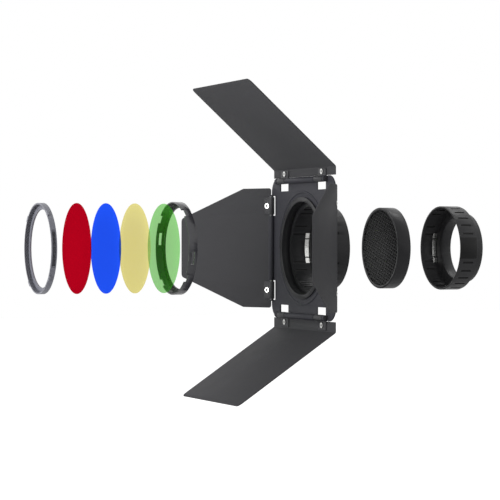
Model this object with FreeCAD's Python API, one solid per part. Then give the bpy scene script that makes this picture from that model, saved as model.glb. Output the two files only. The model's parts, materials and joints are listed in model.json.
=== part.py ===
import FreeCAD, Part
import math
import os

# Barn door kit for a round lamp head, laid out along its light axis.
# -Y runs out with the light, +Y back to the lamp, +Z is up and +X is to the side.
# The origin is on the axis, at the back end of the adapter's lamp spigot.
# Lengths are in millimetres and angles in degrees.

Vec = FreeCAD.Vector
ORIGIN = Vec(0, 0, 0)
AXIS_X, AXIS_Y = Vec(1, 0, 0), Vec(0, 1, 0)
QUARTERS = (0, 90, 180, 270)
OVERCUT = 1.0            # how far a cutting shape passes the face that it opens
THROUGH = 100.0          # half size of a cut that passes through everything

# ---- Fits and sheet thicknesses ---------------------------------------------------
FIT_GAP = 0.3            # radial gap between pieces that push together
SEAT_GAP = 0.2           # face gap of a seated piece
PIVOT_GAP = 0.05         # radial running gap of the strap hinges
LEAF_SHEET = 1.0         # leaves and hinge straps
PLATE_SHEET = 1.5        # door plate
TUBE_WALL = 1.8          # adapter and mount barrel walls

# ---- Lamp adapter -----------------------------------------------------------------
LAMP_SPIGOT_R = 39.6
LAMP_SPIGOT_LENGTH = 11.0
SPIGOT_WALL = 4.4        # spigot and the ledge inside it
BARREL_STEP = 8.4        # adapter and mount barrels, beyond the lamp spigot
SHOULDER_STEP = 0.5      # plain shoulder behind the grip barrel, below its surface
GRIP_LENGTH = 20.9       # full-size barrel behind the adapter's front rim
SEAT_DEPTH = 20.7        # front rim to the ledge that the honeycomb rests on
LEDGE_THICKNESS = 1.5

# ---- Finger-grip slots, in four fans of five, and the slots inside the barrels ------
SLOT_WIDTH = 2.2
SLOT_DEPTH = 0.8
SLOT_START = 4.4
SLOT_LENGTH = 12.6
SLOT_FIRST_ANGLE = 20.0
SLOT_STEP_ANGLE = 12.5
SLOTS_PER_FAN = 5
INNER_SLOT_DEPTH = 0.6
INNER_SLOT_START = 3.3
INNER_SLOT_SKIPPED = 2   # the middle slot of a fan is left out inside

# ---- Leaf springs, each held under two bridges of the barrel's wall ------------------
SPRING_SHEET = 0.4
SPRING_WIDTH = 5.0
SPRING_ARC = 24.5        # between the bridges
SPRING_TAIL_ARC = 7.5    # beyond each bridge
BRIDGE_ARC = 1.6
BRIDGE_THICKNESS = 0.3
SPRING_FROM_LEDGE = 0.8
SPRING_PLAY = 0.3        # pocket round the spring
SPRING_PLAY_ANGLE = 0.5

# ---- Honeycomb --------------------------------------------------------------------
HONEYCOMB_DEPTH = 15.4
HONEYCOMB_RIM_WIDTH = 3.4
CORE_RECESS = 0.6        # core set back from both faces of its rim
CELL_PITCH = 4.3
CELL_WALL = 0.35
CELL_ROW_TILT = 12.0     # the rows of cells lean off the horizontal
CELL_EDGE_SHARE = 0.62   # of a pitch, that a cell's centre keeps from the rim

# ---- Mount barrel and its collar ----------------------------------------------------
POCKET_STEP = 5.8        # pocket of the gel holder, beyond the barrel's bore
POCKET_WALL = 2.0
HEAD_LIP = 3.0           # lip in front of the door plate, beyond the neck
HEAD_THICKNESS = 1.4
POCKET_FLOOR_THICKNESS = 1.6
MOUNT_BARREL_BACK = 31.3 # end of the full-size barrel, behind the plate's middle
MOUNT_SPIGOT_LENGTH = 4.6
MOUNT_SLOT_MARGIN = 1.0
RETAINER_WIDTH = 4.6
RETAINER_THICKNESS = 3.0
RETAINER_SCREWS = 4
SCREW_R = 1.0
SCREW_RECESS = 0.4       # grub screw below the retainer's rim
SCREW_BITE = 0.8         # and into the neck
TURN_GAP = 0.3           # play of the turning plate, on its faces
TURN_RADIAL_GAP = 0.4    # and round the neck

# ---- Gel holder, gels and lock ring --------------------------------------------------
HOLDER_PLAY = 1.6        # radial gap in the collar's pocket
HOLDER_WALL = 1.4
HOLDER_DEPTH = 9.6
HOLDER_FLOOR = 1.4
HOLDER_RIM_WIDTH = 6.4   # from the outside to the opening
HOLDER_WINDOW_ANGLE = 12.0
HOLDER_WINDOW_ARC = 16.0
HOLDER_WINDOW_WIDTH = 3.4
GEL_PLAY = 0.6
GEL_THICKNESS = 0.4
GEL_GAP = 0.1            # air between stacked gels
LOCK_RING_PLAY = 0.8
LOCK_RING_WALL = 1.6
LOCK_RING_FLANGE = 6.8   # from the outside to the opening
LOCK_RING_DEPTH = 6.0
LOCK_TABS = 4
LOCK_TAB_ANGLE = 9.0
LOCK_TAB_LENGTH = 2.0
LOCK_TAB_REACH = 0.8     # how far a tab reaches into the holder's wall
LOCK_FIRST_ANGLE = 40.0
NOTCH_PLAY = 0.2
NOTCH_PLAY_ANGLE = 4.0
PAD_ARC = 48.0           # sunken finger pads in the lock ring's rim
PAD_DEPTH = 0.7
PAD_MARGIN = 1.2
GEL_NAMES = ("green", "yellow", "blue", "red")

# ---- Door plate and its hinges ---------------------------------------------------------
HINGE_X = 80.0           # centre lines of the side hinges
HINGE_Z = 76.0           # centre lines of the top and bottom hinges
HINGE_ROD_R = 2.4
CORNER_R = 16.0
CURL_INSET = 15.0        # plain corner beside each curled edge
BEAD_STEP = 5.6          # pressed stiffening bead, beyond the collar's lip
BEAD_HEIGHT = 0.9
BEAD_WIDTH = 3.2
WINDOW_DEPTH = 8.0       # window inward of each hinge strap, top and bottom
SIDE_WINDOW_DEPTH = 1.0
SIDE_POCKET_WIDTH = 4.6  # lined pocket beside each side window
SIDE_POCKET_DEPTH = 0.8

# ---- Hinge straps and rivets -------------------------------------------------------------
STRAP_WIDTH = 20.0
STRAP_SIDE_PLAY = 1.25
STRAP_FROM_CORNER_X = 31.0  # straps of the top and bottom leaves, from the side hinges
STRAP_FROM_CORNER_Z = 27.5  # straps of the side leaves, from the top and bottom hinges
STRAP_TAIL = 5.0         # strap beyond its rivet
STRAP_BEND_GAP = 0.3     # strap's end short of the leaf's bend
RIVET_R = 2.0
RIVET_HEAD_R = 3.0
RIVET_HEAD_HEIGHT = 0.8
RIVET_FLARE_STEP = 0.3   # rolled end, smaller and flatter than the head
RIVET_FLARE_HEIGHT = 0.56
RIVET_BORE_R = 1.4
RIVET_BORE_DEPTH = 1.5   # hollow of each end
RIVET_AT = 8.2           # from the hinge centre line
DIMPLE_R = 0.7           # locating marks beside the rivets of the side leaves
DIMPLE_DEPTH = 0.5
DIMPLE_SPACING = 6.7

# ---- Leaves -------------------------------------------------------------------
# panel: length beyond the flange; width and tip: half widths; straight: length
# before the taper; open: rest angle between panel and light axis; flange: from the
# hinge centre to the bend; lift: extra stand-off that lets folded leaves stack.
LEAF_START = 3.8         # edge of the sheet, from the hinge centre line
BEND_R = 2.0
LEAF_CORNER_R = 5.0
LEAF_HEEL_R = 3.0        # corners of a side leaf beside its hinge
LEAF_OVERHANG = 0.5      # of the top and bottom leaves, past the side hinges
SIDE_LEAF_INSET = 7.0    # of the side leaves, inside the top and bottom hinges
WIDE = dict(panel=136.0, width=HINGE_X + LEAF_OVERHANG, tip=HINGE_X - LEAF_OVERHANG,
            straight=130.0, lift=0.0)
NARROW = dict(panel=133.5, width=HINGE_Z - SIDE_LEAF_INSET, tip=34.5, straight=40.0, flange=0.0)
LEAVES = {
    "top": dict(WIDE, side=0.0, open=41.5, flange=12.0),
    "bottom": dict(WIDE, side=180.0, open=33.5, flange=13.8),
    "left": dict(NARROW, side=-90.0, open=61.0, lift=0.0),
    "right": dict(NARROW, side=90.0, open=53.5, lift=2.0),
}

# ---- Layout along the axis, from the lamp end ----------------------------------
ADAPTER_TO_HONEYCOMB = 62.8     # clear space between neighbours
HONEYCOMB_TO_MOUNT = 60.2
SWEEP_CLEARANCE = 2.0           # between a folding leaf's tip and the gel holder
HOLDER_TO_GEL = 9.6
GEL_STEPS = (33.4, 32.9, 32.8)  # green to yellow to blue to red
GEL_TO_LOCK_RING = 37.2

# ---- Worked-out sizes ------------------------------------------------------------
LEDGE_OPENING_R = LAMP_SPIGOT_R - SPIGOT_WALL
BARREL_R = LAMP_SPIGOT_R + BARREL_STEP
BORE_R = BARREL_R - TUBE_WALL
PUSH_FIT_R = BORE_R - FIT_GAP
ADAPTER_LENGTH = SEAT_DEPTH + LEDGE_THICKNESS + LAMP_SPIGOT_LENGTH
ADAPTER_FRONT = -ADAPTER_LENGTH
LEDGE_FACE = ADAPTER_FRONT + SEAT_DEPTH
SHOULDER_R = BARREL_R - SHOULDER_STEP
CORE_R = PUSH_FIT_R - HONEYCOMB_RIM_WIDTH
HONEYCOMB_FRONT = ADAPTER_FRONT - ADAPTER_TO_HONEYCOMB - HONEYCOMB_DEPTH
HONEYCOMB_TRAVEL = ADAPTER_TO_HONEYCOMB + SEAT_DEPTH - SEAT_GAP

PLATE_FACE = PLATE_SHEET / 2
POCKET_R = BORE_R + POCKET_STEP
NECK_R = POCKET_R + POCKET_WALL
HEAD_R = NECK_R + HEAD_LIP
RETAINER_R = NECK_R + RETAINER_WIDTH
RETAINER_SCREW_LENGTH = RETAINER_WIDTH - SCREW_RECESS + SCREW_BITE
BEAD_R = HEAD_R + BEAD_STEP
HEAD_BACK = -PLATE_FACE - TURN_GAP
HEAD_FRONT = HEAD_BACK - HEAD_THICKNESS
POCKET_FLOOR = HEAD_FRONT + HOLDER_DEPTH + SEAT_GAP
MOUNT_BACK = MOUNT_BARREL_BACK + MOUNT_SPIGOT_LENGTH
MOUNT_LEDGE_FACE = MOUNT_BARREL_BACK - LEDGE_THICKNESS
PLATE_Y = HONEYCOMB_FRONT - HONEYCOMB_TO_MOUNT - MOUNT_BACK
DOOR_TRAVEL = (ADAPTER_FRONT - SEAT_GAP - MOUNT_BARREL_BACK) - PLATE_Y - HONEYCOMB_TRAVEL

STRAP_BORE_R = HINGE_ROD_R + PIVOT_GAP
STRAP_R = STRAP_BORE_R + LEAF_SHEET
STRAP_AT_X = HINGE_X - STRAP_FROM_CORNER_X
STRAP_AT_Z = HINGE_Z - STRAP_FROM_CORNER_Z
HALF_WINDOW = STRAP_WIDTH / 2 + STRAP_SIDE_PLAY
CURL_R = HINGE_ROD_R + LEAF_SHEET
HINGE_Y = PLATE_FACE - CURL_R      # hinge lines, in front of the plate's middle

HOLDER_R = POCKET_R - HOLDER_PLAY
HOLDER_BORE_R = HOLDER_R - HOLDER_WALL
HOLDER_OPENING_R = HOLDER_R - HOLDER_RIM_WIDTH
GEL_R = HOLDER_BORE_R - GEL_PLAY
GEL_PILE = GEL_THICKNESS + GEL_GAP
LOCK_RING_R = HOLDER_BORE_R - LOCK_RING_PLAY
LOCK_RING_OPENING_R = LOCK_RING_R - LOCK_RING_FLANGE


def sheet_inner(leaf):
    """Distance from the hinge centre back to the leaf's inner face."""
    return STRAP_R + leaf["lift"]


def bend_angle(leaf):
    return 90 - leaf["open"] if leaf["flange"] else 0


def leaf_reach(leaf):
    """Farthest that a leaf's tip gets from its hinge line."""
    bend = math.radians(bend_angle(leaf))
    start = leaf["flange"] or LEAF_START
    along = start + (BEND_R + LEAF_SHEET) * math.sin(bend) + leaf["panel"] * math.cos(bend)
    inner = sheet_inner(leaf)
    if leaf["flange"]:
        return math.hypot(leaf["panel"] * math.sin(bend) + BEND_R - inner, along)
    return math.hypot(inner + LEAF_SHEET, along)


def leaf_sweep(leaf):
    """How far in front of the hinge line a folding leaf sweeps, beside the gel holder."""
    hinge = HINGE_Z if leaf["flange"] else HINGE_X
    return math.sqrt(leaf_reach(leaf) ** 2 - (hinge - HOLDER_R) ** 2)


LEAF_SWEEP = max(leaf_sweep(leaf) for leaf in LEAVES.values())
HOLDER_BACK = PLATE_Y + HINGE_Y - LEAF_SWEEP - SWEEP_CLEARANCE
HOLDER_FRONT = HOLDER_BACK - HOLDER_DEPTH
HOLDER_TRAVEL = PLATE_Y + POCKET_FLOOR - SEAT_GAP - HOLDER_BACK


def gel_backs():
    """Back face of each gel in the layout, from the holder outwards."""
    places = [HOLDER_FRONT - HOLDER_TO_GEL]
    for step in GEL_STEPS:
        places.append(places[-1] - step)
    return places


LOCK_RING_BACK = gel_backs()[-1] - GEL_TO_LOCK_RING


# ---- Helpers ----------------------------------------------------------------------
def turned(outline):
    """Solid turned about the light axis from a list of (radius, y) corners."""
    corners = [Vec(radius, y, 0) for radius, y in outline]
    face = Part.Face(Part.makePolygon(corners + corners[:1]))
    return face.revolve(ORIGIN, AXIS_Y, 360)


def tube(outer, inner, front, back):
    return turned([(inner, front), (outer, front), (outer, back), (inner, back)])


def block(x_span, y_span, z_span):
    size = [span[1] - span[0] for span in (x_span, y_span, z_span)]
    return Part.makeBox(*size, Vec(x_span[0], y_span[0], z_span[0]))


def rod(radius, start, direction, length):
    return Part.makeCylinder(radius, length, start, direction)


def fanned(shape, angles):
    """Copies of a shape turned about the light axis to each angle."""
    return [shape.rotated(ORIGIN, AXIS_Y, angle) for angle in angles]


def arc_band(radius, thickness, front, width, arc):
    """Strip of sheet bent round the light axis, centred on +X."""
    half = math.radians(arc / 2)
    ring = tube(radius, radius - thickness, front, front + width)
    reach = radius / math.cos(half / 2) + OVERCUT
    wedge = Part.Face(Part.makePolygon([
        ORIGIN,
        Vec(reach * math.cos(half), 0, -reach * math.sin(half)),
        Vec(reach, 0, 0),
        Vec(reach * math.cos(half), 0, reach * math.sin(half)),
        ORIGIN,
    ]))
    return ring.common(moved(wedge.extrude(AXIS_Y * (width + 2 * OVERCUT)), front - OVERCUT))


def rounded_face(corners):
    """Flat face in the XZ plane from (x, z, corner radius) in order round the edge."""
    count = len(corners)
    edges, last_end, first_start = [], None, None
    for index, (x, z, radius) in enumerate(corners):
        point = Vec(x, 0, z)
        before = Vec(corners[index - 1][0], 0, corners[index - 1][1]) - point
        after_x, after_z, _ = corners[(index + 1) % count]
        after = Vec(after_x, 0, after_z) - point
        half = before.getAngle(after) / 2
        if radius:
            cut = radius / math.tan(half)
            start = point + Vec(before).normalize() * cut
            end = point + Vec(after).normalize() * cut
            inward = (Vec(before).normalize() + Vec(after).normalize()).normalize()
            middle = point + inward * (radius / math.sin(half) - radius)
        else:
            start = end = middle = point
        if last_end is None:
            first_start = start
        else:
            edges.append(Part.LineSegment(last_end, start).toShape())
        if radius:
            edges.append(Part.Arc(start, middle, end).toShape())
        last_end = end
    edges.append(Part.LineSegment(last_end, first_start).toShape())
    return Part.Face(Part.Wire(edges))


def moved(shape, y):
    return shape.translated(Vec(0, y, 0))


# ---- Leaf springs ----------------------------------------------------------------------
SPRING_BACK_R = BORE_R + BRIDGE_THICKNESS + SPRING_SHEET
SPRING_WHOLE_ARC = SPRING_ARC + 2 * (BRIDGE_ARC + SPRING_TAIL_ARC)


def spring_front(ledge_face):
    return ledge_face - SPRING_FROM_LEDGE - SPRING_WIDTH


def spring_pockets(ledge_face):
    """Pockets for the springs, less the bridges that the springs pass under."""
    front = spring_front(ledge_face) - SPRING_PLAY
    width = SPRING_WIDTH + 2 * SPRING_PLAY
    pocket = arc_band(SPRING_BACK_R, SPRING_BACK_R - BORE_R + OVERCUT, front, width,
                      SPRING_WHOLE_ARC + 2 * SPRING_PLAY_ANGLE)
    bridge = arc_band(BORE_R + BRIDGE_THICKNESS, BRIDGE_THICKNESS + OVERCUT, front, width,
                      BRIDGE_ARC)
    turn = (SPRING_ARC + BRIDGE_ARC) / 2
    pocket = pocket.cut([bridge.rotated(ORIGIN, AXIS_Y, angle) for angle in (-turn, turn)])
    return fanned(pocket, QUARTERS)


def springs(ledge_face):
    strip = arc_band(SPRING_BACK_R, SPRING_SHEET, spring_front(ledge_face), SPRING_WIDTH,
                     SPRING_WHOLE_ARC)
    return Part.makeCompound(fanned(strip, QUARTERS))


# ---- Barrels ---------------------------------------------------------------------------
def slot_angles(skipped=None):
    fan = [SLOT_FIRST_ANGLE + SLOT_STEP_ANGLE * step for step in range(SLOTS_PER_FAN)
           if step != skipped]
    return [quarter + angle for quarter in QUARTERS for angle in fan]


def grip_slots(front, back):
    """Sunken slots in the outside of a barrel."""
    slot = block((BARREL_R - SLOT_DEPTH, BARREL_R + OVERCUT), (front, back),
                 (-SLOT_WIDTH / 2, SLOT_WIDTH / 2))
    return fanned(slot, slot_angles())


def inner_slots(front, ledge_face):
    """Sunken slots in a barrel's bore, which end just in front of the springs."""
    back = spring_front(ledge_face) - 2 * SPRING_PLAY
    slot = block((BORE_R - OVERCUT, BORE_R + INNER_SLOT_DEPTH), (front, back),
                 (-SLOT_WIDTH / 2, SLOT_WIDTH / 2))
    return fanned(slot, slot_angles(INNER_SLOT_SKIPPED))


def adapter_ring():
    step_y = ADAPTER_FRONT + GRIP_LENGTH
    spigot_y = LEDGE_FACE + LEDGE_THICKNESS
    shell = turned([
        (BORE_R, ADAPTER_FRONT), (BARREL_R, ADAPTER_FRONT), (BARREL_R, step_y),
        (SHOULDER_R, step_y), (SHOULDER_R, spigot_y), (LAMP_SPIGOT_R, spigot_y),
        (LAMP_SPIGOT_R, 0), (LEDGE_OPENING_R, 0), (LEDGE_OPENING_R, LEDGE_FACE),
        (BORE_R, LEDGE_FACE),
    ])
    slot_y = ADAPTER_FRONT + SLOT_START
    cuts = grip_slots(slot_y, slot_y + SLOT_LENGTH)
    cuts += inner_slots(ADAPTER_FRONT + INNER_SLOT_START, LEDGE_FACE)
    return shell.cut(cuts + spring_pockets(LEDGE_FACE))


def mount_head():
    """Collar that the door plate turns on, with the pocket for the gel holder."""
    collar = turned([
        (POCKET_R, HEAD_FRONT), (HEAD_R, HEAD_FRONT), (HEAD_R, HEAD_BACK), (NECK_R, HEAD_BACK),
        (NECK_R, POCKET_FLOOR), (POCKET_R, POCKET_FLOOR),
    ])
    return collar.cut(retainer_screws())


def mount_barrel():
    """Flanged barrel bonded to the back of the collar; its spigot fits the adapter."""
    spigot_inner = PUSH_FIT_R - TUBE_WALL
    floor_back = POCKET_FLOOR + POCKET_FLOOR_THICKNESS
    shell = turned([
        (BORE_R, POCKET_FLOOR), (NECK_R, POCKET_FLOOR), (NECK_R, floor_back),
        (BARREL_R, floor_back), (BARREL_R, MOUNT_BARREL_BACK), (PUSH_FIT_R, MOUNT_BARREL_BACK),
        (PUSH_FIT_R, MOUNT_BACK), (spigot_inner, MOUNT_BACK), (spigot_inner, MOUNT_LEDGE_FACE),
        (BORE_R, MOUNT_LEDGE_FACE),
    ])
    slot_front = floor_back + MOUNT_SLOT_MARGIN
    cuts = grip_slots(slot_front, slot_front + SLOT_LENGTH)
    cuts += inner_slots(POCKET_FLOOR + MOUNT_SLOT_MARGIN, MOUNT_LEDGE_FACE)
    return shell.cut(cuts + spring_pockets(MOUNT_LEDGE_FACE))


def retainer_middle():
    return PLATE_FACE + TURN_GAP + RETAINER_THICKNESS / 2


def retainer_screw_angles():
    step = 360 / RETAINER_SCREWS
    return [step / 2 + step * index for index in range(RETAINER_SCREWS)]


def retainer_screws():
    """Grub screws that hold the retainer to the neck."""
    start = RETAINER_R - SCREW_RECESS - RETAINER_SCREW_LENGTH
    screw = rod(SCREW_R, Vec(start, retainer_middle(), 0), AXIS_X, RETAINER_SCREW_LENGTH)
    return fanned(screw, retainer_screw_angles())


def retainer_ring():
    front = PLATE_FACE + TURN_GAP
    ring = tube(RETAINER_R, NECK_R, front, front + RETAINER_THICKNESS)
    hole = rod(SCREW_R, Vec(NECK_R - OVERCUT, retainer_middle(), 0), AXIS_X, RETAINER_R)
    return ring.cut(fanned(hole, retainer_screw_angles()))


# ---- Honeycomb ---------------------------------------------------------------------------
def honeycomb_rim():
    return tube(PUSH_FIT_R, CORE_R, HONEYCOMB_FRONT, HONEYCOMB_FRONT + HONEYCOMB_DEPTH)


def hexagon(radius):
    angles = [math.tau * corner / 6 for corner in range(6)]
    corners = [Vec(radius * math.cos(angle), 0, radius * math.sin(angle)) for angle in angles]
    return Part.makePolygon(corners + corners[:1])


def cell_centres():
    """Centres of a hexagonal lattice that lie wholly inside the core."""
    rows = int(CORE_R / CELL_PITCH) + 2
    tilt = math.radians(CELL_ROW_TILT)
    found = []
    for row in range(-rows, rows + 1):
        for column in range(-rows, rows + 1):
            x = CELL_PITCH * math.sqrt(3) / 2 * row
            z = CELL_PITCH * (column + (row % 2) / 2)
            if math.hypot(x, z) < CORE_R - CELL_PITCH * CELL_EDGE_SHARE:
                found.append((x * math.cos(tilt) - z * math.sin(tilt),
                              x * math.sin(tilt) + z * math.cos(tilt)))
    return found


def honeycomb_core():
    cell_r = (CELL_PITCH - CELL_WALL) / math.sqrt(3)
    disc = Part.Wire(Part.makeCircle(CORE_R, ORIGIN, AXIS_Y))
    cell = hexagon(cell_r).rotated(ORIGIN, AXIS_Y, -CELL_ROW_TILT)
    cells = [cell.translated(Vec(x, 0, z)) for x, z in cell_centres()]
    face = Part.Face([disc] + cells, "Part::FaceMakerBullseye")
    front = HONEYCOMB_FRONT + CORE_RECESS
    return face.extrude(AXIS_Y * (HONEYCOMB_DEPTH - 2 * CORE_RECESS)).translated(Vec(0, front, 0))


# ---- Door plate and hinge rods ---------------------------------------------------------------
def hinge_side(name):
    """Hinge line distance, strap spacing and half rod length of one side of the plate."""
    if name in ("top", "bottom"):
        return HINGE_Z, STRAP_AT_X, HINGE_X - CURL_INSET
    return HINGE_X, STRAP_AT_Z, HINGE_Z - CURL_INSET


def on_side(shape, name):
    """Turn a shape made for the top side to the named side."""
    return shape.rotated(ORIGIN, AXIS_Y, LEAVES[name]["side"])


def hinge_rod(name):
    distance, _, half = hinge_side(name)
    return on_side(rod(HINGE_ROD_R, Vec(-half, HINGE_Y, distance), AXIS_X, 2 * half), name)


def curled_edge(name):
    distance, _, half = hinge_side(name)
    curl = rod(CURL_R, Vec(-half, HINGE_Y, distance), AXIS_X, 2 * half)
    return on_side(curl, name)


def strap_windows(name):
    """Windows for one side's straps, and the shallow pockets beside the side ones."""
    distance, strap_at, _ = hinge_side(name)
    wide = name in ("top", "bottom")
    window_end = distance - CURL_R - (WINDOW_DEPTH if wide else SIDE_WINDOW_DEPTH)
    cuts = []
    for at in (-strap_at, strap_at):
        x_span = (at - HALF_WINDOW, at + HALF_WINDOW)
        cuts.append(block(x_span, (-THROUGH, THROUGH), (window_end, distance + CURL_R + OVERCUT)))
        if not wide:
            cuts.append(block(x_span, (-PLATE_FACE - OVERCUT, SIDE_POCKET_DEPTH - PLATE_FACE),
                              (window_end - SIDE_POCKET_WIDTH, window_end + OVERCUT)))
    return [on_side(cut, name) for cut in cuts]


def edge_trim(name):
    """Strip that ends the flat sheet at the hinge line between the plain corners."""
    distance, _, half = hinge_side(name)
    return on_side(block((-half, half), (-THROUGH, THROUGH), (distance, distance + THROUGH)), name)


def door_plate():
    x, z = HINGE_X + CURL_R, HINGE_Z + CURL_R
    corners = [(-x, -z, CORNER_R), (x, -z, CORNER_R), (x, z, CORNER_R), (-x, z, CORNER_R)]
    sheet = moved(rounded_face(corners).extrude(AXIS_Y * PLATE_SHEET), -PLATE_FACE)
    bead_r = BEAD_WIDTH / 2
    bead = Part.makeTorus(BEAD_R, bead_r, Vec(0, bead_r - BEAD_HEIGHT - PLATE_FACE, 0), AXIS_Y)
    bead = bead.common(block((-THROUGH, THROUGH), (-THROUGH, 0), (-THROUGH, THROUGH)))
    sheet = sheet.cut([edge_trim(name) for name in LEAVES])
    sheet = sheet.fuse([bead] + [curled_edge(name) for name in LEAVES])
    opening = rod(NECK_R + TURN_RADIAL_GAP, Vec(0, -THROUGH, 0), AXIS_Y, 2 * THROUGH)
    cuts = [opening]
    for name in LEAVES:
        cuts += strap_windows(name) + [hinge_rod(name)]
    return sheet.cut(cuts)


# ---- Leaves, straps and rivets -------------------------------------------------------------
# Each is made about a hinge line on the X axis, standing up along +Z and parallel to the
# door plate, with its inner face towards -Y, and is then swung and carried to its place.
def leaf_sheet(leaf):
    inner = sheet_inner(leaf)
    outer = inner + LEAF_SHEET
    bend = math.radians(bend_angle(leaf))
    bend_z = leaf["flange"] or LEAF_START
    centre = Vec(0, inner - BEND_R, bend_z)
    along = Vec(0, -math.sin(bend), math.cos(bend))

    def on_bend(radius, angle):
        return centre + Vec(0, math.cos(angle), math.sin(angle)) * radius

    end_inner, end_outer = on_bend(BEND_R, bend), on_bend(BEND_R + LEAF_SHEET, bend)
    tip_inner, tip_outer = end_inner + along * leaf["panel"], end_outer + along * leaf["panel"]
    if leaf["flange"]:
        start_inner, start_outer = Vec(0, inner, LEAF_START), Vec(0, outer, LEAF_START)
        arcs = [(on_bend(BEND_R, 0), on_bend(BEND_R, bend / 2), end_inner),
                (end_outer, on_bend(BEND_R + LEAF_SHEET, bend / 2), on_bend(BEND_R + LEAF_SHEET, 0))]
        edges = [Part.LineSegment(start_inner, arcs[0][0]).toShape(), Part.Arc(*arcs[0]).toShape(),
                 Part.LineSegment(end_inner, tip_inner).toShape(),
                 Part.LineSegment(tip_inner, tip_outer).toShape(),
                 Part.LineSegment(tip_outer, end_outer).toShape(), Part.Arc(*arcs[1]).toShape(),
                 Part.LineSegment(arcs[1][2], start_outer).toShape(),
                 Part.LineSegment(start_outer, start_inner).toShape()]
        profile = Part.Face(Part.Wire(edges))
    else:
        profile = Part.Face(Part.makePolygon([end_inner, tip_inner, tip_outer, end_outer, end_inner]))
    sheet = profile.extrude(AXIS_X * (2 * leaf["width"])).translated(Vec(-leaf["width"], 0, 0))
    return sheet.common(leaf_outline(leaf, end_inner, bend))


def leaf_outline(leaf, bend_point, bend):
    """Prism with the leaf's flat outline, square to its panel."""
    wide, tip, length = leaf["width"], leaf["tip"], leaf["panel"]
    start, heel_r = (-THROUGH, 0) if leaf["flange"] else (0.0, LEAF_HEEL_R)
    corners = [(-wide, start, heel_r), (-wide, leaf["straight"], 0),
               (-tip, length, LEAF_CORNER_R), (tip, length, LEAF_CORNER_R),
               (wide, leaf["straight"], 0), (wide, start, heel_r)]
    prism = moved(rounded_face(corners).extrude(AXIS_Y * 2 * THROUGH), -THROUGH)
    return prism.rotated(ORIGIN, AXIS_X, math.degrees(bend)).translated(bend_point)


def rivet_hole(at):
    return rod(RIVET_R, Vec(at, 0, RIVET_AT), AXIS_Y, THROUGH)


def dimples(leaf, at):
    """Two small marks in the leaf's inner face, either side of a rivet."""
    start = sheet_inner(leaf) - OVERCUT
    return [rod(DIMPLE_R, Vec(at + offset, start, RIVET_AT), AXIS_Y, OVERCUT + DIMPLE_DEPTH)
            for offset in (-DIMPLE_SPACING, DIMPLE_SPACING)]


def rivet(leaf, at):
    """Hollow-ended rivet through strap and leaf, with its rolled head on the inner face."""
    front = sheet_inner(leaf) - LEAF_SHEET
    head_y = front - RIVET_HEAD_HEIGHT
    back = front + 2 * LEAF_SHEET
    head = rod(RIVET_HEAD_R, Vec(at, head_y, RIVET_AT), AXIS_Y, RIVET_HEAD_HEIGHT)
    shank = rod(RIVET_R, Vec(at, front, RIVET_AT), AXIS_Y, 2 * LEAF_SHEET)
    flare = rod(RIVET_HEAD_R - RIVET_FLARE_STEP, Vec(at, back, RIVET_AT), AXIS_Y,
                RIVET_FLARE_HEIGHT)
    bore_starts = (head_y - OVERCUT, back + RIVET_FLARE_HEIGHT - RIVET_BORE_DEPTH)
    bores = [rod(RIVET_BORE_R, Vec(at, start, RIVET_AT), AXIS_Y, RIVET_BORE_DEPTH + OVERCUT)
             for start in bore_starts]
    return head.fuse([shank, flare]).cut(bores)


def strap(leaf, at):
    """Strap wrapped round the hinge rod, its tail flat on the leaf's inner face."""
    tail_back = sheet_inner(leaf)
    tail_end = (leaf["flange"] or RIVET_AT + STRAP_TAIL) - STRAP_BEND_GAP
    wrap = rod(STRAP_R, ORIGIN, AXIS_X, STRAP_WIDTH)
    foot_end = STRAP_R + LEAF_SHEET if leaf["lift"] else tail_end
    body = wrap.fuse(block((0, STRAP_WIDTH), (STRAP_BORE_R, STRAP_R), (0, foot_end)))
    if leaf["lift"]:
        riser = block((0, STRAP_WIDTH), (STRAP_BORE_R, tail_back), (STRAP_R, foot_end))
        tail = block((0, STRAP_WIDTH), (tail_back - LEAF_SHEET, tail_back), (STRAP_R, tail_end))
        body = body.fuse([riser, tail])
    bore = rod(STRAP_BORE_R, Vec(-OVERCUT, 0, 0), AXIS_X, STRAP_WIDTH + 2 * OVERCUT)
    body = body.cut(bore)
    return body.translated(Vec(at - STRAP_WIDTH / 2, 0, 0)).cut(rivet_hole(at))


def placed_leaf_piece(shape, name):
    """Swing a piece from upright to the leaf's rest angle and carry it to its hinge."""
    leaf = LEAVES[name]
    distance, _, _ = hinge_side(name)
    swing = 0 if leaf["flange"] else 90 - leaf["open"]
    swung = shape.rotated(ORIGIN, AXIS_X, swing)
    return on_side(swung.translated(Vec(0, HINGE_Y, distance)), name)


def leaf_nodes(name):
    leaf = LEAVES[name]
    _, strap_at, _ = hinge_side(name)
    places = (-strap_at, strap_at)
    cuts = [rivet_hole(at) for at in places]
    if not leaf["flange"]:
        cuts += [dimple for at in places for dimple in dimples(leaf, at)]
    sheet = leaf_sheet(leaf).cut(cuts)
    straps = Part.makeCompound([strap(leaf, at) for at in places])
    rivets = Part.makeCompound([rivet(leaf, at) for at in places])
    return {
        "leaf_" + name: placed_leaf_piece(sheet, name),
        "straps_" + name: placed_leaf_piece(straps, name),
        "rivets_" + name: placed_leaf_piece(rivets, name),
    }


# ---- Gel holder, gels and lock ring ------------------------------------------------------------
def tab_angles():
    step = 360 / LOCK_TABS
    return [LOCK_FIRST_ANGLE + step * index for index in range(LOCK_TABS)]


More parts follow.
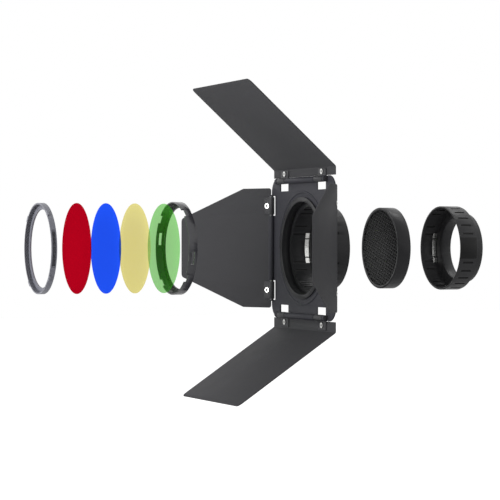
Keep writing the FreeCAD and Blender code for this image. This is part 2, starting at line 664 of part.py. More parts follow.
def gel_holder():
    """Cup with rim notches for the lock ring's tabs and two windows in its wall."""
    floor_front = HOLDER_BACK - HOLDER_FLOOR
    cup = turned([
        (HOLDER_BORE_R, HOLDER_FRONT), (HOLDER_R, HOLDER_FRONT), (HOLDER_R, HOLDER_BACK),
        (HOLDER_OPENING_R, HOLDER_BACK), (HOLDER_OPENING_R, floor_front),
        (HOLDER_BORE_R, floor_front),
    ])
    tab_back = floor_front - len(GEL_NAMES) * GEL_PILE - LOCK_RING_DEPTH + LOCK_TAB_LENGTH
    reach_r, reach = HOLDER_R + OVERCUT, HOLDER_WALL + 2 * OVERCUT
    notch = arc_band(reach_r, reach, HOLDER_FRONT - OVERCUT,
                     tab_back + NOTCH_PLAY - HOLDER_FRONT + OVERCUT,
                     LOCK_TAB_ANGLE + NOTCH_PLAY_ANGLE)
    window_front = (HOLDER_FRONT + HOLDER_BACK - HOLDER_WINDOW_WIDTH) / 2
    window = arc_band(reach_r, reach, window_front, HOLDER_WINDOW_WIDTH, HOLDER_WINDOW_ARC)
    windows = fanned(window, (HOLDER_WINDOW_ANGLE, HOLDER_WINDOW_ANGLE + 180))
    return cup.cut(fanned(notch, tab_angles()) + windows)


def gel(back):
    return tube(GEL_R, 0, back - GEL_THICKNESS, back)


def lock_ring():
    """Short tube with a flange at its back, rim tabs and two sunken finger pads."""
    front = LOCK_RING_BACK - LOCK_RING_DEPTH
    inner_r, flange_front = LOCK_RING_R - LOCK_RING_WALL, LOCK_RING_BACK - LOCK_RING_WALL
    ring = turned([
        (inner_r, front), (LOCK_RING_R, front), (LOCK_RING_R, LOCK_RING_BACK),
        (LOCK_RING_OPENING_R, LOCK_RING_BACK), (LOCK_RING_OPENING_R, flange_front),
        (inner_r, flange_front),
    ])
    tab_r = HOLDER_BORE_R + LOCK_TAB_REACH
    tab = arc_band(tab_r, tab_r - inner_r, front, LOCK_TAB_LENGTH, LOCK_TAB_ANGLE)
    pad = arc_band(LOCK_RING_R + OVERCUT, PAD_DEPTH + OVERCUT, front + PAD_MARGIN,
                   LOCK_RING_DEPTH - 2 * PAD_MARGIN, PAD_ARC)
    return ring.fuse(fanned(tab, tab_angles())).cut(fanned(pad, (0, 180)))


# ---- Everything in its place ---------------------------------------------------------------------
def all_nodes():
    nodes = {
        "adapter_ring": adapter_ring(),
        "adapter_springs": springs(LEDGE_FACE),
        "honeycomb_rim": honeycomb_rim(),
        "honeycomb_core": honeycomb_core(),
        "mount_head": moved(mount_head(), PLATE_Y),
        "mount_barrel": moved(mount_barrel(), PLATE_Y),
        "mount_springs": moved(springs(MOUNT_LEDGE_FACE), PLATE_Y),
        "plate_retainer": moved(retainer_ring(), PLATE_Y),
        "retainer_screws": moved(Part.makeCompound(retainer_screws()), PLATE_Y),
        "door_plate": moved(door_plate(), PLATE_Y),
        "gel_holder": gel_holder(),
        "lock_ring": lock_ring(),
    }
    for name in LEAVES:
        nodes["hinge_rod_" + name] = moved(hinge_rod(name), PLATE_Y)
        for node, shape in leaf_nodes(name).items():
            nodes[node] = moved(shape, PLATE_Y)
    for name, back in zip(GEL_NAMES, gel_backs()):
        nodes["gel_" + name] = gel(back)
    return nodes


def main():
    os.makedirs("parts", exist_ok=True)
    for name, shape in all_nodes().items():
        if not shape.isValid():
            raise ValueError(name + " is not a valid shape")
        shape.exportStep(os.path.join("parts", name + ".step"))
        print(name, len(shape.Solids), "solids", round(shape.Volume, 1), "mm3")


main()
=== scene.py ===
# %% [markdown]
# # A barn door kit, taken apart along its light axis
# The imported model is the fixed frame: every piece already lies where it belongs, in metres.
# This lesson gives each piece its finish and remakes the small repeated parts more finely.
# The box of the model is kept first.

# %% Load the frame
import bmesh
import bpy
import json
import math
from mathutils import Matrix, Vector

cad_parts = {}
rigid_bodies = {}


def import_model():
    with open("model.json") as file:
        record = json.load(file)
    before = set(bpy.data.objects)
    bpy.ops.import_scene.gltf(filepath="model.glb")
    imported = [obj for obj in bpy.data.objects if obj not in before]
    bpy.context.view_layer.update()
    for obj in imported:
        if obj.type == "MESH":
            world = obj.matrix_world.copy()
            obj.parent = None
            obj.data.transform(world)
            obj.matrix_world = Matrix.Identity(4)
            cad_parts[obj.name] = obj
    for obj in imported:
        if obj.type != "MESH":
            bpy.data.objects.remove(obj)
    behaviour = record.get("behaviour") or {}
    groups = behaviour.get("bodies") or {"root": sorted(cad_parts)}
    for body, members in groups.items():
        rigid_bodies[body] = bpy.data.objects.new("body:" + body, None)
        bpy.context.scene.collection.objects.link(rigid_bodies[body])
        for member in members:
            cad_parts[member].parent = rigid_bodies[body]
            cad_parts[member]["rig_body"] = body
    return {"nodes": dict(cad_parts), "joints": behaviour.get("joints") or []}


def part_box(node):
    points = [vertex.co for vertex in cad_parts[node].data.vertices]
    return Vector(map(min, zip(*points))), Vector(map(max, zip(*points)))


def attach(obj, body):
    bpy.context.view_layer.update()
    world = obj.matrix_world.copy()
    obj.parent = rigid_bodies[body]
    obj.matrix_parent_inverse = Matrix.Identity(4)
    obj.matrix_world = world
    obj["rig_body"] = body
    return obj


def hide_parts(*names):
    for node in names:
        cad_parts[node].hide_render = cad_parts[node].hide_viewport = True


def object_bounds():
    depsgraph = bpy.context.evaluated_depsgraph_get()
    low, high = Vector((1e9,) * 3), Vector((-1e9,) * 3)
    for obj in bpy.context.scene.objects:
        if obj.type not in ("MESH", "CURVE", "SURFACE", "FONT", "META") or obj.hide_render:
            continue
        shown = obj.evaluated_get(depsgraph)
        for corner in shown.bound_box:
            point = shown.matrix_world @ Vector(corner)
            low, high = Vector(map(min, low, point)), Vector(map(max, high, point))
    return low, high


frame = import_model()
cad_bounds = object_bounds()
NODES = frame["nodes"]
JOINTS = {joint["name"]: joint for joint in frame["joints"]}
SLOTS = {name: node.data.materials[0].name for name, node in NODES.items()}
SIDES = ("top", "bottom", "left", "right")
MM = 0.001
print("pieces in the frame:", len(NODES))

# %% [markdown]
# ## Node trees written as sums
# Shader and Geometry Nodes trees are easier to read as arithmetic than as dozens of links.
# A wire stands for one output socket, and adding or multiplying wires adds Math nodes. Every
# other node comes from one method that sets the node's options first and its sockets second.

# %% Wires and trees
class Wire:
    """One output socket whose sums and products become Math nodes."""

    def __init__(self, tree, socket):
        self.tree, self.socket = tree, socket

    def __getitem__(self, name):
        return Wire(self.tree, self.socket.node.outputs[name])

    def maths(self, operation, *values):
        sockets = dict(enumerate(values))
        return self.tree.make("ShaderNodeMath", {"operation": operation}, sockets)

    def __add__(self, other):
        return self.maths("ADD", self, other)

    def __sub__(self, other):
        return self.maths("SUBTRACT", self, other)

    def __rsub__(self, other):
        return self.maths("SUBTRACT", other, self)

    def __mul__(self, other):
        return self.maths("MULTIPLY", self, other)

    def __truediv__(self, other):
        return self.maths("DIVIDE", self, other)

    def __lt__(self, other):
        return self.maths("LESS_THAN", self, other)

    def __gt__(self, other):
        return self.maths("GREATER_THAN", self, other)

    def magnitude(self):
        return self.maths("ABSOLUTE", self)

    def at_most(self, other):
        return self.maths("MINIMUM", self, other)

    def at_least(self, other):
        return self.maths("MAXIMUM", self, other)

    def root(self):
        return self.maths("SQRT", self)

    def remainder(self, other):
        return self.maths("FLOORED_MODULO", self, other)

    __radd__ = __add__
    __rmul__ = __mul__


class Tree:
    """A node tree that is filled by calls in reading order."""

    def __init__(self, tree):
        self.tree = tree

    def feed(self, socket, value):
        if isinstance(value, Wire):
            self.tree.links.new(value.socket, socket)
        else:
            socket.default_value = value

    def blend(self, factor, first, second):
        """Mixes two colours with a Mix node and returns its colour output."""
        mixed = self.make("ShaderNodeMix", {"data_type": "RGBA"},
                          {0: factor, 6: first, 7: second})
        return Wire(self, mixed.socket.node.outputs[2])

    def make(self, kind, settings=None, sockets=None):
        node = self.tree.nodes.new(kind)
        for name, value in (settings or {}).items():
            if name == "stops":
                set_stops(node.color_ramp, value)
            else:
                setattr(node, name, value)
        for name, value in (sockets or {}).items():
            self.feed(node.inputs[name], value)
        return Wire(self, node.outputs[0]) if node.outputs else node


def set_stops(ramp, stops):
    """Places the stops of a Color Ramp from (position, grey level) pairs."""
    for _ in range(len(stops) - 2):
        ramp.elements.new(0.5)
    for element, (position, grey) in zip(ramp.elements, stops):
        element.position = position
        element.color = (grey, grey, grey, 1)


# %% [markdown]
# ## One recipe for finishes
# Most surfaces here differ in colour, gloss and grain, not in kind. Each finish is one
# Principled shader whose colour and roughness drift a little over the surface, as paint and
# mouldings do, and whose fine grain is a bump. All patterns read Object coordinates in metres,
# so a size in the recipe is a real size.

# %% Surface recipe
def pattern(tree, size, detail=2.0, stretch=(1, 1, 1)):
    """Noise with features about as large as size, in metres; stretch lengthens them."""
    place = tree.make("ShaderNodeTexCoord")["Object"]
    scaled = tree.make("ShaderNodeMapping", None,
                       {"Vector": place, "Scale": tuple(1 / factor for factor in stretch)})
    noise = tree.make("ShaderNodeTexNoise", None,
                      {"Vector": scaled, "Scale": 1 / size, "Detail": detail, "Roughness": 0.55})
    return noise["Fac"]


def new_material(name):
    material = bpy.data.materials.new(name)
    material.use_nodes = True
    material.node_tree.nodes.clear()
    return material, Tree(material.node_tree)


def finish_material(tree, shader):
    tree.make("ShaderNodeOutputMaterial", None, {"Surface": shader})


def shaded(colour, level):
    return tuple(min(channel * level, 1.0) for channel in colour) + (1.0,)


def surface(name, colour, rough, drift=0.12, patch=0.02, grain=0.0006, relief=0.25,
            stretch=(1, 1, 1), metal=0.0, specular=0.5, coat=0.0, rough_drift=0.08,
            pale=(1, 1, 1), scuffs=0.0, painted_shade=None):
    """A finish: colour drifts by patch-sized clouds, grain-sized noise makes the relief.

    The last argument is a rule that takes the tree and returns a mask of places painted nearly
    black, as shade.
    """
    material, tree = new_material(name)
    cloud = pattern(tree, patch, 3.0, stretch)
    fine = pattern(tree, grain, 2.0, stretch)
    tint = tree.blend(cloud * 0.7 + fine * 0.3, shaded(colour, 1 - drift),
                      shaded(colour, 1 + drift))
    roughness = cloud * (2 * rough_drift) + (rough - rough_drift)
    if scuffs:
        streak = pattern(tree, patch * 0.25, 5.0, (6, 1, 1))
        mask = tree.make("ShaderNodeValToRGB", {"stops": ((0.62, 0.0), (0.72, 1.0))},
                         {"Fac": streak})
        tint = tree.blend(mask * scuffs, tint, shaded(pale, 1))
    # painted shade: the masked places are darkened to a fifth of the colour
    if painted_shade:
        tint = tree.blend(painted_shade(tree), tint, shaded(colour, 0.2))
    bump = tree.make("ShaderNodeBump", None,
                     {"Height": fine, "Strength": relief, "Distance": grain * 0.5})
    shader = tree.make("ShaderNodeBsdfPrincipled", None, {
        "Base Color": tint, "Roughness": roughness, "Metallic": metal,
        "Specular IOR Level": specular, "Coat Weight": coat, "Coat Roughness": 0.25,
        "Normal": bump,
    })
    finish_material(tree, shader)
    return material


# %% [markdown]
# ## Places with painted shade
# Sunken places are darker than the face around them, and this shade is painted into their colour:
# slots in a moulded wall, the depths of the honeycomb, the gaps between fine ribs, and the
# pockets of the plate, whose painted black stands for the shade seen into them. Each rule below
# reads the place of a point and marks those that lie in them. The adapter's plain panels between
# its grip fans are marked too, and also get painted shade.

# %% Places with painted shade
GRIP_PANEL_HALF, PANEL_REACH = 12.0 * MM, 47.6 * MM
SLOT_REACH = (46.45 * MM, 47.35 * MM)
RIB_REACH = (46.42 * MM, 46.8 * MM)
FOIL_EDGE = 0.5 * MM
ADAPTER_SLOTS = (-31.2 * MM, -12.6 * MM)
PLATE_HALF_SHEET = 0.75 * MM
POCKET_X, POCKET_Z = (70.5 * MM, 75.3 * MM), (37.0 * MM, 60.0 * MM)
POCKET_DEPTH = (0.5 * MM, 0.95 * MM)
comb_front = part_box("honeycomb_core")[0].y
plate_middle = JOINTS["door_rotation"]["pos_m"][1]
plate_front = plate_middle - PLATE_HALF_SHEET
MOUNT_SLOTS = (plate_middle + 3.0 * MM, plate_middle + 29.7 * MM)


def place_in(tree):
    """The three Object coordinates of a point, in metres."""
    return tree.make("ShaderNodeSeparateXYZ", None,
                     {"Vector": tree.make("ShaderNodeTexCoord")["Object"]})


def between(value, limits):
    return (limits[0] < value) * (value < limits[1])


def from_axis(place):
    """How far a point lies from the light axis."""
    return (place["X"] * place["X"] + place["Z"] * place["Z"]).root()


def slot_painted_shade(ends):
    """A rule that marks the sunken slots in a barrel's wall, between two places on the axis, for
    painted shade.
    """
    def rule(tree):
        place = place_in(tree)
        return between(from_axis(place), SLOT_REACH) * between(place["Y"], ends)
    return rule


def grip_painted_shade(tree):
    """Marks the adapter's slots and its plain panels between the grip fans, where shade is
    painted in.
    """
    place = place_in(tree)
    nearer = place["X"].magnitude().at_most(place["Z"].magnitude())
    panels = (nearer < GRIP_PANEL_HALF) * (PANEL_REACH < from_axis(place))
    return slot_painted_shade(ADAPTER_SLOTS)(tree).at_least(panels)


def cell_painted_shade(tree):
    """Marks what lies deeper than the front edges of the honeycomb's foil, where shade is painted
    in.
    """
    return comb_front + FOIL_EDGE < place_in(tree)["Y"]


def rib_gap_painted_shade(tree):
    """Marks the inner wall of the lock ring's tube, where shade is painted between the ribs."""
    return between(from_axis(place_in(tree)), RIB_REACH)


def pocket_painted_shade(tree):
    """Marks the floors of the four pockets beside the side straps, which are painted black as the
    shade seen into a window.
    """
    place = place_in(tree)
    deep = between(place["Y"], [plate_front + depth for depth in POCKET_DEPTH])
    across_pocket = between(place["X"].magnitude(), POCKET_X)
    along_pocket = between(place["Z"].magnitude(), POCKET_Z)
    return deep * across_pocket * along_pocket


# %% [markdown]
# ## The finishes of this kit
# Leaves and door plate are powder-coated steel: matt, with an even fine tooth. Adapter and
# barrel are moulded black plastic, a little glossier. The honeycomb is black anodised
# aluminium, whose rim shows faint turning marks. Only springs and rivets are bright, and shade
# is painted into the hollow ends of the rivets.

# %% Finishes
HOLLOW_SIZE = 3.0 * MM
HOLLOW_SHADE, BRIGHT_STEEL = (0.012, 0.012, 0.012, 1.0), (0.86, 0.86, 0.84, 1.0)


def rivet_steel():
    """Bright steel with painted shade in its hollows: occlusion finds them."""
    material, tree = new_material("rivet_steel")
    # painted shade: occlusion turns the steel nearly black inside the rivets' hollows
    openness = tree.make("ShaderNodeAmbientOcclusion", None, {"Distance": HOLLOW_SIZE})["AO"]
    unshaded_share = tree.make("ShaderNodeValToRGB", {"stops": ((0.45, 0.0), (0.75, 1.0))},
                      {"Fac": openness})
    shader = tree.make("ShaderNodeBsdfPrincipled", None, {
        "Base Color": tree.blend(unshaded_share, HOLLOW_SHADE, BRIGHT_STEEL), "Metallic": 1.0,
        "Roughness": pattern(tree, 0.001) * 0.1 + 0.18})
    finish_material(tree, shader)
    return material


# Finishes given a shade rule have shade painted into the places that the rule marks.
LEAF_COAT = surface("leaf_coat", (0.062, 0.062, 0.066), 0.6, specular=0.05, relief=0.35,
                    grain=0.0005, patch=0.03, drift=0.07)
PLATE_COAT = surface("plate_coat", (0.036, 0.036, 0.044), 0.52, specular=0.18, relief=0.3,
                     grain=0.0005, patch=0.03, drift=0.08, painted_shade=pocket_painted_shade)
STRAP_COAT = surface("strap_coat", (0.040, 0.040, 0.044), 0.5, specular=0.35, relief=0.3,
                     grain=0.0004, patch=0.008, drift=0.12, scuffs=0.25, pale=(0.16, 0.16, 0.17))
MOULDING = surface("black_moulding", (0.022, 0.022, 0.024), 0.34, specular=0.2, relief=0.4,
                   grain=0.0007, patch=0.015, drift=0.15, painted_shade=slot_painted_shade(MOUNT_SLOTS))
GRIP_MOULDING = surface("grip_moulding", (0.036, 0.036, 0.038), 0.36, specular=0.25, relief=0.4,
                        grain=0.0007, patch=0.012, drift=0.15, painted_shade=grip_painted_shade)
RIM_ANODISE = surface("rim_anodise", (0.026, 0.026, 0.028), 0.34, specular=0.2, relief=0.5,
                      grain=0.0005, patch=0.01, stretch=(8, 1, 8), drift=0.22)
CORE_ANODISE = surface("core_anodise", (0.046, 0.046, 0.048), 0.38, specular=0.2, relief=0.2,
                       grain=0.0005, patch=0.006, drift=0.3, painted_shade=cell_painted_shade)
RING_GREY = surface("ring_grey", (0.19, 0.193, 0.225), 0.38, specular=0.4, relief=0.35,
                    grain=0.0006, patch=0.01, drift=0.12, painted_shade=rib_gap_painted_shade)
HOLDER_BLACK = surface("holder_black", (0.048, 0.048, 0.055), 0.2, specular=0.5, relief=0.3,
                       grain=0.0006, patch=0.01, drift=0.15, coat=0.25)
SPRING_STEEL = surface("spring_steel", (0.80, 0.80, 0.78), 0.24, metal=1.0, relief=0.5,
                       grain=0.0004, patch=0.004, stretch=(1, 1, 7), drift=0.08)
RIVET_STEEL = rivet_steel()
PAD_BLACK = surface("pad_black", (0.012, 0.012, 0.013), 0.6, specular=0.1, relief=0.3,
                    grain=0.0005, patch=0.006)
BLACK_STEEL = surface("blackened_steel", (0.10, 0.10, 0.105), 0.35, metal=0.9, relief=0.3,
                      grain=0.0003, patch=0.003, drift=0.15)
print("finishes:", len(bpy.data.materials))


# %% [markdown]
# ## Dyed film
# A lighting gel is a thin coloured sheet. Most light goes straight through, filtered by the
# dye, and part is scattered by the dye itself. So the finish mixes a Transparent shader in the
# filter colour with a Principled shader in the dye colour. Light passes two faces of the sheet,
# so the filter colour of one face is paler than the sheet. The clouds thin the dye a little, as
# in real film, and a very weak bump lets the sheet look slightly wavy.

# %% Gel finish
def film(name, dye, filter_colour, cover, ripple=0.02):
    """A coloured sheet: cover is the share of light that the dye scatters or stops."""
    material, tree = new_material(name)
    cloud = pattern(tree, 0.03, 2.0)
    tint = tree.blend(cloud, shaded(dye, 0.94), shaded(dye, 1.06))
    wave = tree.make("ShaderNodeBump", None,
                     {"Height": cloud, "Strength": ripple, "Distance": 0.002})
    skin = tree.make("ShaderNodeBsdfPrincipled", None, {
        "Base Color": tint, "Roughness": 0.35, "Specular IOR Level": 0.0, "Normal": wave})
    through = tree.make("ShaderNodeBsdfTransparent", None,
                        {"Color": tuple(filter_colour) + (1.0,)})
    sheet = tree.make("ShaderNodeMixShader", None, {0: cover, 1: through, 2: skin})
    finish_material(tree, sheet)
    return material


GEL_FILMS = {
    "red": film("gel_red_film", (0.34, 0.0012, 0.011), (0.73, 0.033, 0.119), 0.25),
    "blue": film("gel_blue_film", (0.036, 0.150, 0.985), (0.125, 0.310, 1.0), 0.10),
    "yellow": film("gel_yellow_film", (0.62, 0.68, 0.38), (0.945, 0.885, 0.520), 0.15),
    "green": film("gel_green_film", (0.11, 0.60, 0.058), (0.65, 0.880, 0.590), 0.20),
}

# %% [markdown]
# ## Dressing the model's own pieces
# Most pieces already have the right shape, so they keep their meshes and only take a finish.
# Each name below is a piece of the frame, and its material slots are simply filled.

# %% Finishes on the frame's pieces
def dress(material, *names):
    for name in names:
        for material_slot in NODES[name].material_slots:
            material_slot.material = material


dress(GRIP_MOULDING, "adapter_ring")
dress(MOULDING, "mount_barrel", "mount_head")
dress(RIM_ANODISE, "honeycomb_rim")
dress(CORE_ANODISE, "honeycomb_core")
dress(PLATE_COAT, "door_plate", "plate_retainer")
dress(SPRING_STEEL, "adapter_springs", "mount_springs")
dress(BLACK_STEEL, "retainer_screws")
dress(HOLDER_BLACK, "gel_holder")
dress(RING_GREY, "lock_ring")
for side in SIDES:
    dress(LEAF_COAT, f"leaf_{side}")
    dress(STRAP_COAT, f"straps_{side}")
    dress(RIVET_STEEL, f"rivets_{side}")
    dress(BLACK_STEEL, f"hinge_rod_{side}")
for hue, sheet_finish in GEL_FILMS.items():
    dress(sheet_finish, f"gel_{hue}")
print("dressed", len(NODES), "pieces")

# %% [markdown]
# ## Trees that grow geometry
# Repeated parts, such as the cells of a grid or the ribs of a ring, are made by Geometry Nodes.
# One helper opens a tree and names its inputs, another closes it with Realize Instances and
# Set Material. A third gives the tree its sizes, turns the result into a plain mesh and hands
# the piece to the body that carries it.

# %% Geometry helpers
def geometry_tree(name, inputs):
    """Starts a tree; inputs maps each input's name to the kind of its socket."""
    group = bpy.data.node_groups.new(name, "GeometryNodeTree")
    group.interface.new_socket("Geometry", in_out="OUTPUT", socket_type="NodeSocketGeometry")
    for label, kind in inputs.items():
        group.interface.new_socket(label, in_out="INPUT", socket_type="NodeSocket" + kind)
    tree = Tree(group)
    given = tree.make("NodeGroupInput")
    return tree, {label: given[label] for label in inputs}


def close_tree(tree, shape, finish):
    solid = tree.make("GeometryNodeRealizeInstances", None, {"Geometry": shape})
    clothed = tree.make("GeometryNodeSetMaterial", None, {"Geometry": solid, "Material": finish})
    tree.make("NodeGroupOutput", None, {"Geometry": clothed})


def new_piece(name, mesh):
    piece = bpy.data.objects.new(name, mesh)
    bpy.context.scene.collection.objects.link(piece)
    return piece


def grow(name, tree, values):
    """Runs a tree with its sizes and returns the result as a plain mesh object."""
    piece = new_piece(name, bpy.data.meshes.new(name + "_start"))
    modifier = piece.modifiers.new("growth", "NODES")
    modifier.node_group = tree.tree
    for item in tree.tree.interface.items_tree:
        if item.in_out == "INPUT":
            modifier[item.identifier] = values[item.name]
    graph = bpy.context.evaluated_depsgraph_get()
    mesh = bpy.data.meshes.new_from_object(piece.evaluated_get(graph), depsgraph=graph)
    piece.modifiers.remove(modifier)
    piece.data = mesh
    print(name, "has", len(mesh.polygons), "faces")
    return piece


def hand_over(piece, body, slot_name, *replaced):
    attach(piece, body)
    if replaced:
        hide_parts(*replaced)


def stand_up(tree, shape, lean, middle):
    """Turns a shape made flat, in the XY plane, to face along Y, and carries it into place."""
    turn = tree.make("ShaderNodeCombineXYZ", None, {"X": math.pi / 2, "Y": lean})
    place = tree.make("ShaderNodeCombineXYZ", None, {"Y": middle})
    turn = tree.make("FunctionNodeEulerToRotation", None, {"Euler": turn})
    return tree.make("GeometryNodeTransform", None,
                     {"Geometry": shape, "Translation": place, "Rotation": turn})


# %% [markdown]
# ## Edges that catch the light
# Folded sheet and moulded rings have no knife edges, and powder coat rounds them further. So
# the larger pieces are shown by copies: loose triangles are merged, flat ones joined, and a
# narrow Bevel rounds every edge that is sharper than a slight bend. The bevel only takes
# material away, so no copy grows past its piece.

# %% Softened edges
SHARP_ANGLE = math.radians(38.0)
FLAT_ANGLE = math.radians(0.4)
MERGE_DISTANCE = 0.002 * MM


def softened(name, width):
    """Shows a frame piece as a merged copy with rounded edges."""
    node = NODES[name]
    shape = bmesh.new()
    shape.from_mesh(node.data)
    bmesh.ops.remove_doubles(shape, verts=shape.verts, dist=MERGE_DISTANCE)
    bmesh.ops.dissolve_limit(shape, angle_limit=FLAT_ANGLE, verts=shape.verts,
                             edges=shape.edges)
    for face in shape.faces:
        face.smooth = True
    mesh = bpy.data.meshes.new(name + "_softened")
    shape.to_mesh(mesh)
    shape.free()
    mesh.materials.append(node.data.materials[0])
    piece = new_piece(name + "_softened", mesh)
    bevel = piece.modifiers.new("edges", "BEVEL")
    bevel.width, bevel.segments = width, 2
    bevel.limit_method, bevel.angle_limit = "ANGLE", SHARP_ANGLE
    bevel.harden_normals = True
    graph = bpy.context.evaluated_depsgraph_get()
    rounded = bpy.data.meshes.new_from_object(piece.evaluated_get(graph), depsgraph=graph)
    piece.modifiers.remove(bevel)
    piece.data = rounded
    hand_over(piece, node["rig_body"], SLOTS[name], name)
    print(piece.name, "has", len(rounded.polygons), "faces")


edge_widths = {"honeycomb_rim": 0.25, "gel_holder": 0.25, "mount_head": 0.25,
               "adapter_ring": 0.20, "mount_barrel": 0.20, "door_plate": 0.12}
for side in SIDES:
    edge_widths[f"leaf_{side}"], edge_widths[f"straps_{side}"] = 0.25, 0.20
for name, edge_width in edge_widths.items():
    softened(name, edge_width * MM)

# %% [markdown]
# ## The honeycomb
# A real grid is thin foil glued and stretched into hexagons, then cut to a disc. So each cell
# here is a six-sided tube with half of the foil's thickness, and neighbours touch. Cells that
# would pass the rim are pressed back to its radius, which leaves the part cells of a real one.

# %% Honeycomb cells
SIX_SIDED = 6
EDGE_SHARE = 0.42        # of the pitch, that a cell's centre may lie past the core's radius
ROW_SPACING = math.sqrt(3) / 2
cells, given = geometry_tree("honeycomb_cells", {
    "Core Radius": "Float", "Cell Pitch": "Float", "Foil": "Float", "Depth": "Float",
    "Columns": "Int", "Rows": "Int", "Row Lean": "Float", "Middle": "Float",
    "Finish": "Material"})
pitch, radius = given["Cell Pitch"], given["Core Radius"]
lattice = cells.make("GeometryNodeMeshGrid", None, {
    "Size X": (given["Columns"] - 1) * pitch * ROW_SPACING, "Size Y": (given["Rows"] - 1) * pitch,
    "Vertices X": given["Columns"], "Vertices Y": given["Rows"]})["Mesh"]
position = cells.make("GeometryNodeInputPosition")
spot = cells.make("ShaderNodeSeparateXYZ", None, {"Vector": position})
column = cells.make("ShaderNodeMath", {"operation": "ROUND"},
                    {0: spot["X"] / (pitch * ROW_SPACING)})
stagger = cells.make("ShaderNodeCombineXYZ", None, {"Y": column.remainder(2.0) * pitch * 0.5})
lattice = cells.make("GeometryNodeSetPosition", None, {"Geometry": lattice, "Offset": stagger})
reach = cells.make("ShaderNodeVectorMath", {"operation": "LENGTH"}, {0: position})["Value"]
outside = radius + pitch * EDGE_SHARE < reach
lattice = cells.make("GeometryNodeDeleteGeometry", {"domain": "POINT"},
                     {"Geometry": lattice, "Selection": outside})
ring = cells.make("GeometryNodeCurvePrimitiveCircle", None, {
    "Resolution": SIX_SIDED, "Radius": (pitch * 0.5 - given["Foil"] * 0.25) / ROW_SPACING})
wall = cells.make("GeometryNodeCurvePrimitiveQuadrilateral", None,
                  {"Width": given["Foil"] * 0.5, "Height": given["Depth"]})
cell = cells.make("GeometryNodeCurveToMesh", None, {"Curve": ring, "Profile Curve": wall})
comb = cells.make("GeometryNodeInstanceOnPoints", None, {"Points": lattice, "Instance": cell})
comb = cells.make("GeometryNodeRealizeInstances", None, {"Geometry": comb})
flat_reach = (spot["X"] * spot["X"] + spot["Y"] * spot["Y"]).root()
press = radius / flat_reach.at_least(radius)
pressed = cells.make("ShaderNodeCombineXYZ", None, {
    "X": spot["X"] * press, "Y": spot["Y"] * press, "Z": spot["Z"]})
comb = cells.make("GeometryNodeSetPosition", None, {"Geometry": comb, "Position": pressed})
close_tree(cells, stand_up(cells, comb, given["Row Lean"], given["Middle"]), given["Finish"])

core_low, core_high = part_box("honeycomb_core")
CELL_PITCH, FOIL = 4.3 * MM, 0.35 * MM
core_radius = core_high.z
across_count = 2 * math.ceil(core_radius / CELL_PITCH) + 3
honeycomb = grow("honeycomb_cells", cells, {
    "Core Radius": core_radius, "Cell Pitch": CELL_PITCH, "Foil": FOIL,
    "Depth": core_high.y - core_low.y, "Columns": across_count + 4, "Rows": across_count,
    "Row Lean": math.radians(-12.0), "Middle": (core_low.y + core_high.y) / 2,
    "Finish": CORE_ANODISE})
hand_over(honeycomb, "honeycomb", "black_anodised", "honeycomb_core")

# %% [markdown]
# ## Ribs of the lock ring
# The front ring is turned by hand, so moulders give it fine ribs. One tree makes both sets:
# leaning ribs inside its tube, and straight ribs on the two sunken finger pads outside. Each
# rib is a small block on a point of a circle, and an input keeps only the points that lie near
# the two sides where the pads are.

# %% Ring ribs
ribs, given = geometry_tree("ring_ribs", {
    "Count": "Int", "Circle Radius": "Float", "Rib Length": "Float", "Rib Width": "Float",
    "Rib Height": "Float", "Lean": "Float", "Kept Side": "Float", "Middle": "Float",
    "Finish": "Material"})
circle = ribs.make("GeometryNodeMeshCircle", None, {
    "Vertices": given["Count"], "Radius": given["Circle Radius"]})
spot = ribs.make("ShaderNodeSeparateXYZ", None, {
    "Vector": ribs.make("GeometryNodeInputPosition")})
sideways = spot["X"].magnitude()
circle = ribs.make("GeometryNodeDeleteGeometry", {"domain": "POINT"}, {
    "Geometry": circle, "Selection": sideways < given["Kept Side"] * given["Circle Radius"]})
block_size = ribs.make("ShaderNodeCombineXYZ", None, {
    "X": given["Rib Height"], "Y": given["Rib Width"], "Z": given["Rib Length"]})
rib = ribs.make("GeometryNodeMeshCube", None, {"Size": block_size})["Mesh"]
lean = ribs.make("FunctionNodeEulerToRotation", None, {
    "Euler": ribs.make("ShaderNodeCombineXYZ", None, {"X": given["Lean"]})})
rib = ribs.make("GeometryNodeTransform", None, {"Geometry": rib, "Rotation": lean})
bearing = ribs.make("ShaderNodeMath", {"operation": "ARCTAN2"}, {0: spot["Y"], 1: spot["X"]})
facing = ribs.make("FunctionNodeEulerToRotation", None, {
    "Euler": ribs.make("ShaderNodeCombineXYZ", None, {"Z": bearing})})
rib_set = ribs.make("GeometryNodeInstanceOnPoints", None, {
    "Points": circle, "Instance": rib, "Rotation": facing})
close_tree(ribs, stand_up(ribs, rib_set, 0.0, given["Middle"]), given["Finish"])

ring_low, ring_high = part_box("lock_ring")
RING_R = 48.2 * MM
RING_WALL, PAD_DEPTH = 1.6 * MM, 0.7 * MM
PAD_HALF_ANGLE = math.radians(22.5)
flange_front = ring_high.y - RING_WALL
inner_ribs = grow("lock_ring_ribs", ribs, {
    "Count": 168, "Circle Radius": RING_R - RING_WALL, "Rib Length": 4.6 * MM,
    "Rib Width": 0.5 * MM, "Rib Height": 0.7 * MM, "Lean": math.radians(32.0),
    "Kept Side": 0.0, "Middle": (ring_low.y + flange_front) / 2, "Finish": RING_GREY})
hand_over(inner_ribs, "lock", "ring_plastic")
pad_ribs = grow("finger_pad_ribs", ribs, {
    "Count": 220, "Circle Radius": RING_R - PAD_DEPTH, "Rib Length": 3.4 * MM,
    "Rib Width": 0.6 * MM, "Rib Height": 0.9 * MM, "Lean": 0.0,
    "Kept Side": math.cos(PAD_HALF_ANGLE), "Middle": (ring_low.y + ring_high.y) / 2,
    "Finish": PAD_BLACK})
hand_over(pad_ribs, "lock", "ring_plastic")

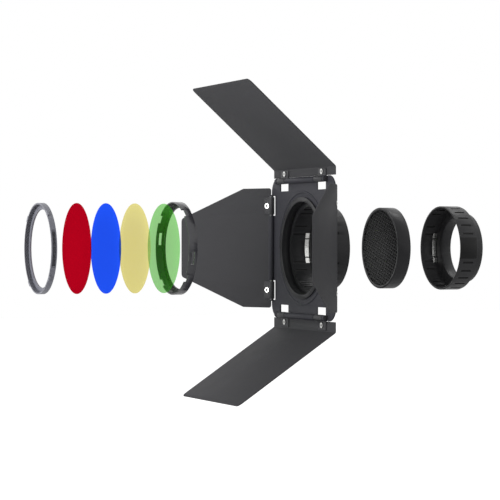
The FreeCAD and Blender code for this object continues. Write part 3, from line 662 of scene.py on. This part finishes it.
# %% [markdown]
# ## Camera
# The camera stands at the height of the light axis and looks at the door plate's centre, a
# little to one side, so that the whole row from front ring to lamp adapter fits.

# %% Camera
PLATE_CENTRE = Vector(JOINTS["door_rotation"]["pos_m"])
CAMERA_AZIMUTH = math.radians(65.0)
CAMERA_ELEVATION = math.radians(0.19)
CAMERA_DISTANCE = 2.2334
SENSOR_WIDTH = 36.0
LENS_RATIO = 4.0         # focal length over the sensor's width
SHIFT_RIGHT, SHIFT_UP = 0.0265, 0.000915

across, along = math.sin(CAMERA_AZIMUTH), math.cos(CAMERA_AZIMUTH)
level, rise = math.cos(CAMERA_ELEVATION), math.sin(CAMERA_ELEVATION)
back = Vector((across * level, -along * level, rise))
right = Vector((along, across, 0))
up = back.cross(right)
aim = -back - right * SHIFT_RIGHT - up * SHIFT_UP

camera_data = bpy.data.cameras.new("camera")
camera_data.sensor_width = SENSOR_WIDTH
camera_data.lens = SENSOR_WIDTH * LENS_RATIO
camera_data.clip_start, camera_data.clip_end = 0.05, 50
camera = bpy.data.objects.new("camera", camera_data)
camera.location = PLATE_CENTRE + back * CAMERA_DISTANCE
camera.rotation_euler = aim.to_track_quat("-Z", "Y").to_euler()
bpy.context.scene.collection.objects.link(camera)
bpy.context.scene.camera = camera
print("camera at", [round(value, 3) for value in camera.location])

# %% [markdown]
# ## Floor, background and light
# The row hangs in a plain white studio. The floor lies well below it and takes its shadow. The
# world is white to the camera and in reflections, while the light that it gives to the pieces
# is weaker, so that the lamps above and in front can still draw the shapes.

# %% Studio
FLOOR_DROP, FLOOR_HALF = 0.15, 6.0
WORLD_FILL, FLOOR_GLOW = 0.46, 0.75
scene = bpy.context.scene
scene.view_settings.view_transform = "Standard"

world = bpy.data.worlds.new("studio")
scene.world = world
world.use_nodes = True
world.node_tree.nodes.clear()
sky = Tree(world.node_tree)
ray = sky.make("ShaderNodeLightPath")
seen = ray["Is Camera Ray"].at_least(ray["Is Glossy Ray"]).at_least(ray["Is Transmission Ray"])
glow = sky.make("ShaderNodeBackground", None, {"Color": (1, 1, 1, 1),
                                               "Strength": seen * (1 - WORLD_FILL) + WORLD_FILL})
sky.make("ShaderNodeOutputWorld", None, {"Surface": glow})

floor_material, floor_tree = new_material("studio_floor")
ray = floor_tree.make("ShaderNodeLightPath")
paper = floor_tree.make("ShaderNodeBsdfPrincipled", None, {
    "Base Color": (0.86, 0.86, 0.86, 1), "Roughness": 0.9, "Specular IOR Level": 0.1})
bright = floor_tree.make("ShaderNodeEmission", None, {
    "Color": (1, 1, 1, 1), "Strength": FLOOR_GLOW})
lit = floor_tree.make("ShaderNodeAddShader", None, {0: paper, 1: bright})
finish_material(floor_tree, floor_tree.make("ShaderNodeMixShader", None, {
    0: ray["Is Camera Ray"], 1: paper, 2: lit}))

floor_mesh = bpy.data.meshes.new("floor")
floor_z = cad_bounds[0][2] - FLOOR_DROP
corners = [(x * FLOOR_HALF, y * FLOOR_HALF, floor_z)
           for x, y in ((-1, -1), (1, -1), (1, 1), (-1, 1))]
floor_mesh.from_pydata(corners, [], [(0, 1, 2, 3)])
floor_mesh.materials.append(floor_material)
floor = bpy.data.objects.new("floor", floor_mesh)
scene.collection.objects.link(floor)


def soft_lamp(name, place, size, power):
    """A square softbox that faces the plate from a place given in metres around it."""
    lamp_data = bpy.data.lights.new(name, "AREA")
    lamp_data.shape, lamp_data.size = "SQUARE", size
    lamp_data.energy = power
    lamp = bpy.data.objects.new(name, lamp_data)
    lamp.location = PLATE_CENTRE + Vector(place)
    lamp.rotation_euler = (-Vector(place)).to_track_quat("-Z", "Y").to_euler()
    lamp.visible_camera = False
    scene.collection.objects.link(lamp)


soft_lamp("front_softbox", (0.15, -1.3, 0.25), 0.9, 11.0)
soft_lamp("top_softbox", (-0.3, 0.6, 1.4), 0.45, 4.0)
soft_lamp("low_softbox", (-0.2, 0.30, -0.44), 0.35, 2.2)
